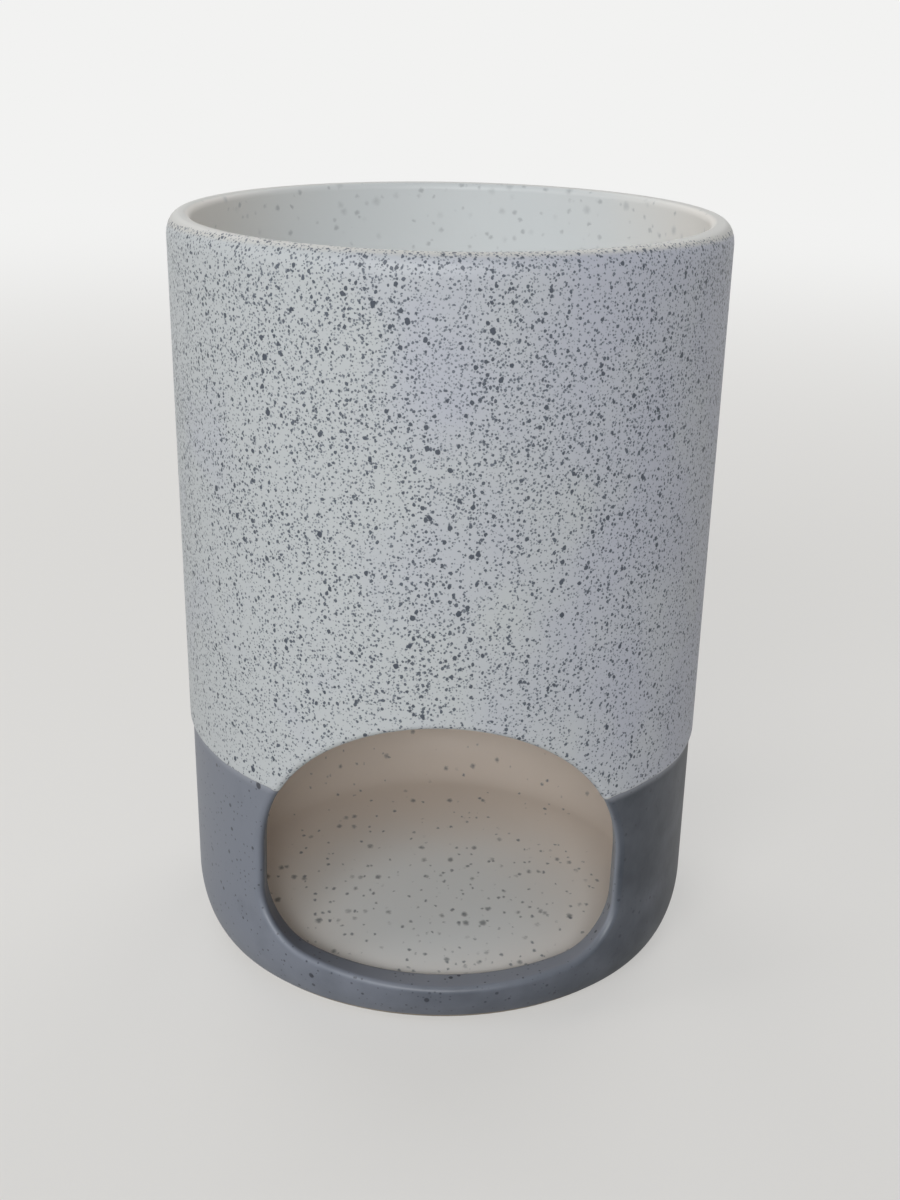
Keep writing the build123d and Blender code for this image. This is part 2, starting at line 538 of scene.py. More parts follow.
def store_places(piece: Piece, form: PotForm) -> None:
    """Stores how far each point lies below the dipped line and behind the slate's side, for the colours.

    The first is the line's height less the point's, the second the side's radius less the point's.

    Args:
        piece: The piece, whose points get both in millimetres.
        form: The pot's sizes.
    """
    flat = np.zeros(len(piece.data.vertices) * 3, dtype=np.float32)
    piece.data.vertices.foreach_get("co", flat)
    across, along, height = (flat.reshape(-1, 3).astype(np.float64) / METRES_PER_MM).T
    below = form.line_height(np.arctan2(across, -along)) - height
    side = form.outside(form.slate_thickness)
    behind = np.interp(height, side.height, side.radius) - np.hypot(across, along)
    for name, values in (("below_line", below), ("behind_side", behind)):
        attribute = piece.data.attributes.new(name, "FLOAT", "POINT")
        attribute.data.foreach_set("value", values.astype(np.float32))


@dataclass(frozen=True)
class Walk:
    """A walk round the edge of a band of wall: angles about the axis, and levels from low to high edge."""

    angle: FloatArray
    level: FloatArray

    @classmethod
    def along(cls, corners: list[tuple[float, float]], counts: list[int], powers: list[float]) -> "Walk":
        """Walks straight from corner to corner. A power above 1 crowds the points to a run's first end.

        Args:
            corners: Angle and level of each corner, in order.
            counts: Steps in each run.
            powers: Power of the step's share in each run, negative to crowd towards its last end.

        Returns:
            The whole walk.
        """
        runs: list[FloatArray] = []
        for start, end, count, power in zip(corners, corners[1:], counts, powers):
            share = np.linspace(0.0, 1.0, count + 1)
            eased = share**power if power > 0 else 1.0 - (1.0 - share) ** -power
            runs.append(np.array(start) + eased[:, None] * (np.array(end) - np.array(start)))
        path = np.concatenate([runs[0]] + [run[1:] for run in runs[1:]])
        return cls(path[:, 0], path[:, 1])


@dataclass(frozen=True)
class Band:
    """A band of turned wall that meets the window, laid out along rays from a point in the opening."""

    profile: Profile
    low_edge: Along
    high_edge: Along
    centre_level: float
    mean_radius: float
    mean_height: float
    outline_checks: int = 9001

    def length(self, angle: FloatArray, level: FloatArray) -> FloatArray:
        """Length along the profile at a level: that share of the way from the low edge to the high edge."""
        low = self.low_edge(angle)
        return low + level * (self.high_edge(angle) - low)

    def level(self, angle: FloatArray, length: FloatArray) -> FloatArray:
        """Level at a length along the profile, the reverse of length."""
        low = self.low_edge(angle)
        return (length - low) / (self.high_edge(angle) - low)

    def bearing(self, angle: FloatArray, level: FloatArray) -> FloatArray:
        """Direction of each point from the middle of the rays, on the wall rolled flat, without jumps."""
        rise = (level - self.centre_level) * self.mean_height
        return np.unwrap(np.arctan2(rise, angle * self.mean_radius))

    def window_shares(self, window: WindowCut, ball: float, walk: Walk) -> FloatArray:
        """Share of the window's outline on the ray to each point of a walk round the band's edge.

        Args:
            window: The window's sizes.
            ball: Radius of the window's round where it meets this band.
            walk: The walk round the band's edge.

        Returns:
            The share at each point of the walk.
        """
        dense = np.linspace(0.0, 2.0, self.outline_checks)
        touch = window.rolled(self.profile, dense, ball)
        bearing = self.bearing(touch.angle, self.level(touch.angle, touch.length))
        return np.interp(self.bearing(walk.angle, walk.level), bearing, dense)

    def rows_to_window(self, touch: RolledRound, walk: Walk, shares: FloatArray, inset: Over) -> FloatArray:
        """Rows of the wall from the band's edge in to the window's round, straight on the rolled-out wall.

        Args:
            touch: Where the round meets the wall, on each ray.
            walk: The other end of each ray.
            shares: Share of the way out to the walk, for each row.
            inset: Function of angle and length that says how far under the profile the surface lies.

        Returns:
            Grid of points, rows by rays, in millimetres.
        """
        near_level = self.level(touch.angle, touch.length)
        part = shares[:, None]
        angle = touch.angle + part * (walk.angle - touch.angle)
        level = near_level + part * (walk.level - near_level)
        length = self.length(angle, level)
        return self.profile.place(angle, length, inset(angle, length))


def linear(code: str) -> Colour:
    """Turns an sRGB hex colour into the linear light that shaders work in.

    Each channel is divided near black, and raised to a power above that, as the sRGB standard says.

    Args:
        code: A hash and six hex digits.

    Returns:
        Red, green, blue and a full alpha.
    """
    parts = [int(code[place : place + 2], 16) / 255.0 for place in (1, 3, 5)]
    light = [part / 12.92 if part <= 0.04045 else ((part + 0.055) / 1.055) ** 2.4 for part in parts]
    return (light[0], light[1], light[2], 1.0)


def add_node(tree: Tree, kind: str, inputs: dict[Any, Any], output: Any = 0, **settings: Any) -> Socket:
    """Adds one node, makes its settings, and sets or links its inputs.

    Args:
        tree: The node tree to add to.
        kind: Blender's name for the kind of shader node, without its prefix.
        inputs: Input names or numbers, each with a value, a hex colour or the socket to link.
        output: Name or number of the output to give back.
        settings: The node's own settings.

    Returns:
        That output, or the first input of a node that has no output.
    """
    node = tree.nodes.new("ShaderNode" + kind)
    for setting, value in settings.items():
        setattr(node, setting, value)
    for place, value in inputs.items():
        if isinstance(value, bpy.types.NodeSocket):
            tree.links.new(value, node.inputs[place])
        else:
            node.inputs[place].default_value = linear(value) if isinstance(value, str) else value
    return node.outputs[output] if node.outputs else node.inputs[0]


def jittered(tree: Tree, place: Socket, scale: float, reach: float) -> Socket:
    """Moves a position by a noise's colour times a reach, so that round grains come out uneven.

    Args:
        tree: The node tree to add to.
        place: Position in millimetres.
        scale: The noise's scale, one over millimetres.
        reach: How far the position moves at most, in millimetres.

    Returns:
        The moved position.
    """
    uneven = add_node(tree, "TexNoise", {"Vector": place, "Scale": scale, "Detail": 1.0}, "Color")
    return add_node(tree, "VectorMath", {0: uneven, 1: (reach,) * 3, 2: place}, operation="MULTIPLY_ADD")


@dataclass(frozen=True)
class Specks:
    """One size of dark grain in a glaze: balls scattered through space, seen where the glaze cuts them.

    Lengths are millimetres. A grain is drawn where the distance to its middle is under its own radius.
    Grains are longer front to back by the share reach, and upwards by the share drop.
    """

    spacing: float
    smallest: float
    largest: float
    share: float
    colour: str
    strength: float = 1.0
    blur: float = 0.05
    shift: float = 0.0
    reach: float = 1.0
    drop: float = 1.0

    def over(self, tree: Tree, place: Socket, density: Any, ground: Socket) -> Socket:
        """Draws the grains over a ground colour.

        Args:
            tree: The node tree to add to.
            place: Position in millimetres.
            density: Share of the grains that are there, from 0 to 1.
            ground: The colour under them.

        Returns:
            The colour with the grains on it.
        """
        size = 1.0 / self.spacing
        stretch = (size, size / self.reach, size / self.drop)
        moved = {"Vector": place, "Location": (self.shift,) * 3, "Scale": stretch}
        scaled = add_node(tree, "Mapping", moved)
        cell = add_node(tree, "TexVoronoi", {"Vector": scaled, "Scale": 1.0}).node.outputs
        lot = add_node(tree, "SeparateColor", {"Color": cell["Color"]}).node.outputs
        sizes = {"Value": lot["Red"], "To Min": self.smallest * size, "To Max": self.largest * size}
        radius = add_node(tree, "MapRange", sizes)
        inner = add_node(tree, "Math", {0: radius, 1: self.blur * size}, operation="SUBTRACT")
        outer = add_node(tree, "Math", {0: radius, 1: self.blur * size}, operation="ADD")
        edge = {"From Min": inner, "From Max": outer, "To Min": 1.0, "To Max": 0.0}
        fall = {"Value": cell["Distance"], **edge}
        shape = add_node(tree, "MapRange", fall, interpolation_type="SMOOTHSTEP")
        chance = add_node(tree, "Math", {0: density, 1: self.share}, operation="MULTIPLY")
        there = add_node(tree, "Math", {0: lot["Green"], 1: chance}, operation="LESS_THAN")
        seen = add_node(tree, "Math", {0: shape, 1: there}, operation="MULTIPLY")
        part = add_node(tree, "Math", {0: seen, 1: self.strength}, operation="MULTIPLY")
        grains = {0: part, UNDER: ground, OVER: self.colour}
        return add_node(tree, "Mix", grains, MIXED, data_type="RGBA")


@dataclass(frozen=True, kw_only=True)
class Finish(ABC):
    """What every finish has: its grains, roughness and IOR, and two noises of height, in millimetres."""

    specks: tuple[Specks, ...] = ()
    roughness: float = 0.5
    ior: float = 1.5
    grain: float = 0.6
    grain_depth: float = 0.012
    swell: float = 16.0
    swell_depth: float = 0.10

    @abstractmethod
    def paint(self, tree: Tree, place: Socket) -> Socket:
        """Adds the colour's nodes.

        Args:
            tree: The node tree to add to.
            place: Position in millimetres.

        Returns:
            The colour.
        """

    def scatter(self, tree: Tree, place: Socket, density: Any, colour: Socket) -> Socket:
        """Draws every size of grain over a colour, each one over those before it.

        Args:
            tree: The node tree to add to.
            place: Position in millimetres.
            density: Share of the grains that are there, from 0 to 1.
            colour: The colour under them.

        Returns:
            The colour with all the grains on it.
        """
        for layer in self.specks:
            colour = layer.over(tree, place, density, colour)
        return colour

    def dress(self, piece: Piece, name: str) -> None:
        """Gives a piece this finish: its painted colour, and the two noises as the height of its surface.

        Args:
            piece: The piece, a new one or a node of the model.
            name: Name of the material.
        """
        material = bpy.data.materials.new(name)
        tree = emptied(material)
        metres = add_node(tree, "TexCoord", {}, "Object")
        place = add_node(tree, "Mapping", {"Vector": metres, "Scale": (1.0 / METRES_PER_MM,) * 3})
        swell = add_node(tree, "TexNoise", {"Vector": place, "Scale": 1.0 / self.swell, "Detail": 1.0})
        grain = add_node(tree, "TexNoise", {"Vector": place, "Scale": 1.0 / self.grain, "Detail": 2.0})
        broad = add_node(tree, "Bump", {"Height": swell, "Distance": mm(self.swell_depth), "Strength": 1.0})
        fine = {"Height": grain, "Distance": mm(self.grain_depth), "Strength": 1.0, "Normal": broad}
        coat = {
            "Base Color": self.paint(tree, place),
            "Normal": add_node(tree, "Bump", fine),
            "Roughness": self.roughness,
            "IOR": self.ior,
        }
        add_node(tree, "OutputMaterial", {"Surface": add_node(tree, "BsdfPrincipled", coat)})
        piece.data.materials.clear()
        piece.data.materials.append(material)


@dataclass(frozen=True, kw_only=True)
class SpeckledGlaze(Finish):
    """Satin stoneware glaze, dipped and fired, with iron grains burnt through it.

    That gives the eye a soft pale grey, warmer or bluer from place to place, under thousands of blue-black
    dots of all sizes that thicken and thin in clouds and stop short of the rim. The smallest dots of the
    real one are about a tenth of a millimetre across, and are drawn twice as coarse so that they show.
    """

    warm: str = "#bbc0c3"
    cool: str = "#b2b6c2"
    lip: str = "#c2c6c9"
    # Plain pale rim, its warm tint a painted reflection of warm surroundings
    rim: str = "#c5c5c2"
    cloud: float = 22.0
    cloud_lean: float = 0.006
    cool_range: tuple[float, float] = (0.38, 0.68)
    lip_range: tuple[float, float] = (-0.5, -0.1)
    rim_height: float = 110.6
    rim_fade: float = 0.7
    specks: tuple[Specks, ...] = (
        Specks(0.39, 0.07, 0.16, 1.00, "#7c838c", strength=0.85, blur=0.04, shift=3.1),
        Specks(0.50, 0.10, 0.20, 0.95, "#565e6a", strength=0.90, blur=0.04, shift=11.3),
        Specks(0.78, 0.16, 0.25, 0.72, "#48505c", strength=0.94, blur=0.04, shift=17.7, drop=1.12),
        Specks(1.50, 0.23, 0.33, 0.52, "#3f4753", strength=0.96, blur=0.05, shift=29.5, drop=1.15),
        Specks(3.50, 0.31, 0.42, 0.46, "#3b4350", strength=0.97, blur=0.06, shift=41.3, drop=1.2),
    )
    jitter_scale: float = 2.2
    jitter: float = 0.32
    thin_height: float = 30.0
    dense_height: float = 92.0
    least_share: float = 0.58
    patches_per_cloud: float = 1.6
    patch_range: tuple[float, float] = (0.32, 0.62)
    clear_height: float = 110.95
    clear_fade: float = 0.25
    clear_dip: float = 4.5e-7
    clear_behind: float = 0.45
    crest_range: tuple[float, float] = (-12.0, 4.0)

    def paint(self, tree: Tree, place: Socket) -> Socket:
        """Paints the clouded ground, its pale lips at the dipped line and the rim, the rim's warm tint a
        painted reflection, and the grains.

        The grains' share rises with height, falls in clouds, and ends where the height reaches the clear
        rim. To that height a dip is added that grows with the fourth power of the distance to either side,
        and a little behind, where the glaze ran off the crest.

        Args:
            tree: The node tree to add to.
            place: Position in millimetres.

        Returns:
            The colour.
        """
        across, along, up = add_node(tree, "SeparateXYZ", {0: place}).node.outputs
        side = add_node(tree, "Math", {0: across, 1: across}, operation="MULTIPLY")
        end = add_node(tree, "Math", {0: side, 1: side}, operation="MULTIPLY")
        front, back = self.crest_range
        crest = {"Value": along, "From Min": front, "From Max": back, "To Max": self.clear_behind}
        lifted = add_node(tree, "Math", {0: up, 1: add_node(tree, "MapRange", crest)}, operation="ADD")
        height = add_node(tree, "Math", {0: end, 1: self.clear_dip, 2: lifted}, operation="MULTIPLY_ADD")
        tint = add_node(tree, "TexNoise", {"Vector": place, "Scale": 1.0 / self.cloud, "Detail": 3.0})
        leaning = add_node(tree, "Math", {0: across, 1: self.cloud_lean, 2: tint}, operation="MULTIPLY_ADD")
        warmest, coolest = self.cool_range
        cooler = add_node(tree, "MapRange", {"Value": leaning, "From Min": warmest, "From Max": coolest})
        below = add_node(tree, "Attribute", {}, "Fac", attribute_name="below_line")
        lip_start, lip_end = self.lip_range
        line = {"Value": below, "From Min": lip_start, "From Max": lip_end}
        crown = {"Value": height, "From Min": self.rim_height - self.rim_fade, "From Max": self.rim_height}
        clouded = {0: cooler, UNDER: self.warm, OVER: self.cool}
        colour = add_node(tree, "Mix", clouded, MIXED, data_type="RGBA")
        # The rim's colour carries a warm tint as a painted reflection
        for where, code in ((line, self.lip), (crown, self.rim)):
            share = add_node(tree, "MapRange", where, interpolation_type="SMOOTHSTEP")
            colour = add_node(tree, "Mix", {0: share, UNDER: colour, OVER: code}, MIXED, data_type="RGBA")
        fullest = {"From Min": self.thin_height, "From Max": self.dense_height, "To Min": self.least_share}
        rising = add_node(tree, "MapRange", {"Value": up, **fullest})
        ending = {"From Min": self.clear_height - self.clear_fade, "From Max": self.clear_height}
        clear = add_node(tree, "MapRange", {"Value": height, **ending, "To Min": 1.0, "To Max": 0.0})
        scale = self.patches_per_cloud / self.cloud
        clouds = add_node(tree, "TexNoise", {"Vector": place, "Scale": scale, "Detail": 3.0})
        thin, thick = self.patch_range
        patched = {"Value": clouds, "From Min": thin, "From Max": thick, "To Min": self.least_share}
        patch = add_node(tree, "MapRange", patched)
        density = add_node(tree, "Math", {0: rising, 1: clear}, operation="MULTIPLY")
        density = add_node(tree, "Math", {0: density, 1: patch}, operation="MULTIPLY")
        return self.scatter(tree, jittered(tree, place, self.jitter_scale, self.jitter), density, colour)


@dataclass(frozen=True, kw_only=True)
class SlateGlaze(Finish):
    """Satin slate stoneware glaze over the foot, with painted shade that darkens it towards the right.

    That gives the eye a dark blue grey with a slow mottle, a paler bluish band just under the line, few
    specks, and on the window's cut painted shade on the left and a painted highlight on the right and sill.
    """

    roughness: float = 0.42
    ior: float = 1.52
    grain: float = 0.7
    swell: float = 14.0
    light: str = "#747a86"
    dark: str = "#353c46"
    mottle: float = 8.0
    # Painted shade: how much darker the slate turns per millimetre towards the right
    lean: float = 0.015
    dark_range: tuple[float, float] = (0.18, 1.08)
    # Painted light on the window's cut: shade on its left side, a highlight on its right side and sill
    cut_shade_left: str = "#4a4f59"
    cut_highlight_right: str = "#9297a1"
    cut_share: float = 0.75
    cut_range: tuple[float, float] = (0.15, 1.1)
    shade_to_highlight_range: tuple[float, float] = (-24.0, 0.0)
    band: str = "#8f949e"
    band_width: float = 1.3
    band_share: float = 0.8
    specks: tuple[Specks, ...] = (
        Specks(0.8, 0.09, 0.20, 0.45, "#3a3e48", strength=0.70, blur=0.05, shift=5.3),
        Specks(1.8, 0.17, 0.32, 0.52, "#31353f", strength=0.82, blur=0.06, shift=15.9),
        Specks(5.0, 0.36, 0.52, 0.42, "#2e323c", strength=0.88, blur=0.09, shift=23.9, drop=1.2),
    )

    def paint(self, tree: Tree, place: Socket) -> Socket:
        """Paints the mottled ground with painted shade on the right, the cut's painted shade and highlight,
        the band and the grains.

        Args:
            tree: The node tree to add to.
            place: Position in millimetres.

        Returns:
            The colour.
        """
        across = add_node(tree, "SeparateXYZ", {0: place}, "X")
        tint = add_node(tree, "TexNoise", {"Vector": place, "Scale": 1.0 / self.mottle, "Detail": 4.0})
        # Painted shade: the mottle is pushed darker towards the right
        mottle_and_shade = add_node(tree, "Math", {0: across, 1: self.lean, 2: tint}, operation="MULTIPLY_ADD")
        light_end, dark_end = self.dark_range
        depth = add_node(tree, "MapRange", {"Value": mottle_and_shade, "From Min": light_end, "From Max": dark_end})
        # Painted shade on the cut's left passes to a painted highlight on its right
        turn_start, turn_end = self.shade_to_highlight_range
        turn = {"Value": across, "From Min": turn_start, "From Max": turn_end}
        shade_to_highlight = add_node(tree, "MapRange", turn, interpolation_type="SMOOTHSTEP")
        behind = add_node(tree, "Attribute", {}, "Fac", attribute_name="behind_side")
        outer, inner = self.cut_range
        reveal = {"Value": behind, "From Min": outer, "From Max": inner, "To Max": self.cut_share}
        inward = add_node(tree, "MapRange", reveal, interpolation_type="SMOOTHSTEP")
        below = add_node(tree, "Attribute", {}, "Fac", attribute_name="below_line")
        edge = {"Value": below, "From Max": self.band_width, "To Min": self.band_share, "To Max": 0.0}
        fading = add_node(tree, "MapRange", edge, interpolation_type="SMOOTHSTEP")
        sides = {0: shade_to_highlight, UNDER: self.cut_shade_left, OVER: self.cut_highlight_right}
        cut = add_node(tree, "Mix", sides, MIXED, data_type="RGBA")
        colour: Any = self.light
        for share, other in ((depth, self.dark), (inward, cut), (fading, self.band)):
            colour = add_node(tree, "Mix", {0: share, UNDER: colour, OVER: other}, MIXED, data_type="RGBA")
        return self.scatter(tree, place, 1.0, colour)


@dataclass(frozen=True, kw_only=True)
class LiningGlaze(Finish):
    """Satin liner glaze, poured in and out again, so that it pools in the middle and thins on the walls.

    That gives the eye a plain pale coat, cool in the middle and turning warm outwards as painted warm bounce
    light, over blurred grains.
    """

    # The coat turns from its cool middle colour to a painted warm bounce light outwards, between the two
    # radii from the middle
    pooled: str
    warm_bounce_tint: str
    middle: tuple[float, float, float]
    cool_radius: float
    warm_radius: float
    sparse: float = 0.45
    fewer: float = 0.25
    mottle: float = 11.0
    mottle_range: tuple[float, float] = (0.35, 0.65)
    waver: float = 6.0
    jitter_scale: float = 1.7
    jitter: float = 0.5
    grain: float = 0.7
    grain_depth: float = 0.010
    swell: float = 15.0
    swell_depth: float = 0.08

    def paint(self, tree: Tree, place: Socket) -> Socket:
        """Paints the change from the cool middle to painted warm bounce light outwards, and the blurred
        grains, fewer outwards.

        Args:
            tree: The node tree to add to.
            place: Position in millimetres.

        Returns:
            The colour.
        """
        mottle = add_node(tree, "TexNoise", {"Vector": place, "Scale": 1.0 / self.mottle, "Detail": 2.0})
        away = add_node(tree, "VectorMath", {0: place, 1: self.middle}, "Value", operation="DISTANCE")
        wavy = add_node(tree, "Math", {0: mottle, 1: self.waver, 2: away}, operation="MULTIPLY_ADD")
        # Share of the painted warm bounce light, rising away from the middle; it also makes the grains fewer
        reach = {"Value": wavy, "From Min": self.cool_radius, "From Max": self.warm_radius}
        outward_share = add_node(tree, "MapRange", reach, interpolation_type="SMOOTHSTEP")
        coats = {0: outward_share, UNDER: self.pooled, OVER: self.warm_bounce_tint}
        ground = add_node(tree, "Mix", coats, MIXED, data_type="RGBA")
        low, high = self.mottle_range
        patched = {"Value": mottle, "From Min": low, "From Max": high, "To Min": self.sparse}
        patch = add_node(tree, "MapRange", patched)
        thinning = add_node(tree, "MapRange", {"Value": outward_share, "To Min": 1.0, "To Max": self.fewer})
        density = add_node(tree, "Math", {0: patch, 1: thinning}, operation="MULTIPLY")
        return self.scatter(tree, jittered(tree, place, self.jitter_scale, self.jitter), density, ground)


@dataclass(frozen=True, kw_only=True)
class RimAndDishGlaze(SpeckledGlaze):
    """The outer coat over the rim's lip, run into the poured lining of the dish.

    That gives the eye one unbroken surface, speckled up to the lip in front and plain from there inwards.
    """

    lining: LiningGlaze
    inner_radius: float = 36.9
    outer_radius: float = 37.6

    def paint(self, tree: Tree, place: Socket) -> Socket:
        """Paints both glazes and passes from one to the other by the distance from the pot's axis.

        Args:
            tree: The node tree to add to.
            place: Position in millimetres.

        Returns:
            The colour.
        """
        flat = add_node(tree, "VectorMath", {0: place, 1: (1.0, 1.0, 0.0)}, operation="MULTIPLY")
        away = add_node(tree, "VectorMath", {0: flat}, "Value", operation="LENGTH")
        crossing = {"Value": away, "From Min": self.inner_radius, "From Max": self.outer_radius}
        out = add_node(tree, "MapRange", crossing, interpolation_type="SMOOTHSTEP")
        inner = self.lining.paint(tree, place)
        outer = super().paint(tree, place)
        return add_node(tree, "Mix", {0: out, UNDER: inner, OVER: outer}, MIXED, data_type="RGBA")


@dataclass(frozen=True, kw_only=True)
class BareStoneware(Finish):
    """Fired stoneware clay, wiped clean of glaze before firing.

    That gives the eye a dry warm grey with a fine sandy tooth and a few darker grains of grog.
    """

    roughness: float = 0.9
    grain: float = 0.35
    grain_depth: float = 0.03
    swell: float = 9.0
    swell_depth: float = 0.05
    pale: str = "#a39b8f"
    deep: str = "#8c8377"
    tint_scale: float = 0.3
    specks: tuple[Specks, ...] = (
        Specks(1.8, 0.10, 0.28, 0.45, "#62574a", strength=0.8, blur=0.04, shift=2.7),
    )

    def paint(self, tree: Tree, place: Socket) -> Socket:
        """Paints the clay's slow change of colour and its grog.

        Args:
            tree: The node tree to add to.
            place: Position in millimetres.

        Returns:
            The colour.
        """
        tint = add_node(tree, "TexNoise", {"Vector": place, "Scale": self.tint_scale, "Detail": 5.0})
        clay = {0: tint, UNDER: self.pale, OVER: self.deep}
        ground = add_node(tree, "Mix", clay, MIXED, data_type="RGBA")
        return self.scatter(tree, place, 1.0, ground)


@dataclass(kw_only=True)
class Coat(ABC):
    """One coat of glaze: its piece, the node that it stands for, a slot that is not used, and what it is
    dressed in.
    """

    form: PotForm
    name: str
    node: str
    slot: str
    material: str
    finish: Finish

    @abstractmethod
    def shape(self) -> Piece:
        """Makes the coat's mesh.

        Returns:
            The new piece.
        """

    def build(self) -> Piece:
        """Makes the coat, puts it in place of its node and dresses it.

        Returns:
            The finished piece, riding on the pot and standing for its node.
        """
        piece = self.shape()
        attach(piece, "root")
        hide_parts(self.node)
        self.finish.dress(piece, self.material)
        return piece


@dataclass(kw_only=True)
class WallCoat(Coat):
    """One coat on the outside of the pot, with its share of the window's rounds and sides, in mm."""

    side: Side
    window: WindowCut
    lip_width: float = 0.55
    lip_tuck: float = 0.05
    underlap: float = 0.3
    underlap_angle: float = 0.7
    underlap_ramp: float = 0.1
    rows: int = 120
    round_rows: int = 9
    side_rows: int = 7
    seam_steps: int = 90
    edge_steps: int = 260
    crowding: float = 2.0

    def band(self) -> Band:
        """The band of wall that this coat covers.

        Returns:
            The band, from the bare foot to the line or from the line to the rim's plain band.
        """
        form = self.form
        above = self.side is Side.ABOVE_LINE
        profile = form.outside(form.speckled_thickness if above else form.slate_thickness)
        top = profile.length_at_height(np.array(form.overall_height - form.rim_band_height))
        foot = profile.length_at_height(np.array(form.bare_foot_height))

        def line(angle: FloatArray) -> FloatArray:
            """Length at the dipped line."""
            return profile.length_at_height(form.line_height(angle))

        def lapped_line(angle: FloatArray) -> FloatArray:
            """Length at the slate's upper edge, which laps under the other coat away from the window."""
            away = smooth_step((np.abs(angle) - self.underlap_angle) / self.underlap_ramp)
            return profile.length_at_height(form.line_height(angle) + self.underlap * away)

        if above:
            edges = (line, lambda angle: top + 0.0 * angle)
            return Band(profile, *edges, 0.0, form.rim_radius, form.overall_height - form.glaze_line_height)
        edges = (lambda angle: foot + 0.0 * angle, lapped_line)
        return Band(profile, *edges, 1.0, form.rim_radius, form.glaze_line_height)

    def walk(self) -> Walk:
        """The walk round the band's far edge: along the seam at the back, round the pot, and back.

        Returns:
            The walk, with its points crowded towards the dipped line.
        """
        half = math.pi
        seam, edge, power = self.seam_steps, self.edge_steps, self.crowding
        if self.side is Side.ABOVE_LINE:
            corners = [(half, 0.0), (half, 1.0), (-half, 1.0), (-half, 0.0)]
        else:
            corners = [(-half, 1.0), (-half, 0.0), (half, 0.0), (half, 1.0)]
        return Walk.along(corners, [seam, edge, seam], [power, 1.0, -power])

    def inset(self, band: Band) -> Over:
        """Depth of the surface at the coat's lip, a quarter circle over the lip's width.

        Args:
            band: The band of wall that this coat covers.

        Returns:
            Function of angle and length that says how far under the profile the surface lies.
        """
        form = self.form
        profile = band.profile
        step = form.speckled_thickness - form.slate_thickness + self.lip_tuck
        foot_step = form.slate_thickness + self.lip_tuck

        def lip(distance: FloatArray, depth: float) -> FloatArray:
            """Depth under the surface near the edge: the full depth less the height of a quarter circle."""
            short = 1.0 - np.clip(distance / self.lip_width, 0.0, 1.0)
            return depth * (1.0 - np.sqrt(1.0 - short**2))

        def above(angle: FloatArray, length: FloatArray) -> FloatArray:
            """Lip over the slate, along the dipped line."""
            height = np.interp(length, profile.length, profile.height)
            return lip(height - form.line_height(angle), step)

        def below(angle: FloatArray, length: FloatArray) -> FloatArray:
            """Lip over the bare foot."""
            return lip(length - band.low_edge(angle), foot_step)

        return above if self.side is Side.ABOVE_LINE else below

    def shape(self) -> Piece:
        """Makes the coat as one grid: wall, outer round, window side and inner round, ray by ray.

        Returns:
            The new piece.
        """
        band = self.band()
        walk = self.walk()
        inset = self.inset(band)
        shares = band.window_shares(self.window, self.window.outer_round, walk)
        first = self.window.rolled(band.profile, shares, self.window.outer_round)
        sunk = inset(first.angle, first.length)
        outer = self.window.rolled(band.profile, shares, self.window.outer_round, sunk)
        inner = self.window.rolled(self.form.chamber_wall(), shares, self.window.inner_round)
        out_shares = np.linspace(1.0, 0.0, self.rows + 1)[:-1] ** RAY_CROWDING
        wall = band.rows_to_window(outer, walk, out_shares, inset)
        outer_round = outer.across(np.linspace(0.0, 1.0, self.round_rows))
        inner_round = inner.across(np.linspace(1.0, 0.0, self.round_rows))
        part = np.linspace(0.0, 1.0, self.side_rows)[1:-1, None, None]
        side = outer_round[-1] + part * (inner_round[0] - outer_round[-1])
        grid = np.concatenate([wall, outer_round, side, inner_round])
        piece = welded(self.name, [grid], [OUTWARD])
        store_places(piece, self.form)
        return piece


